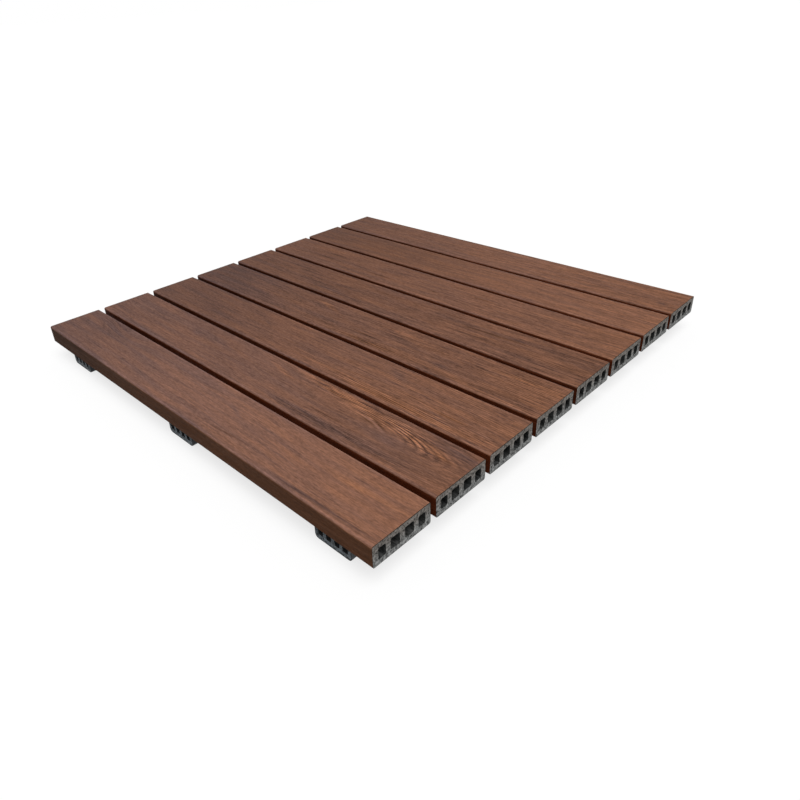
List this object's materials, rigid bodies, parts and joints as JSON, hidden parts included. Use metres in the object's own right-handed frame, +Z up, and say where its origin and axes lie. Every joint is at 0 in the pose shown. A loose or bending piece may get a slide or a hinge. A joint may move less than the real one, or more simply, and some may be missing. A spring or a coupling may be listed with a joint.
{
  "type": "ready-made square tile of hollow composite decking boards on battens",
  "caption": "Square deck tile of hollow capped composite boards, laid with open gaps on hollow battens and held by screws from below.",
  "frame": {"origin": "on the ground under the middle of the tile, in the plane of the battens' undersides", "axes": "+X along the boards, +Y across them from board_1 at the front to board_8 at the back, +Z up"},
  "size_m": [0.6, 0.601, 0.046],
  "materials": {
    "board_capping": "matt embossed wood grain, reddish brown, over a grey core seen at the sawn ends",
    "batten_composite": "matt charcoal, sawn ends",
    "screw_steel": "plain stainless"
  },
  "bodies": {
    "root": {"board_1": "board_capping", "board_2": "board_capping", "board_3": "board_capping", "board_4": "board_capping", "board_5": "board_capping", "board_6": "board_capping", "board_7": "board_capping", "board_8": "board_capping", "batten_1": "batten_composite", "batten_2": "batten_composite", "batten_3": "batten_composite", "fixing_screws": "screw_steel"}
  },
  "joints": []
}
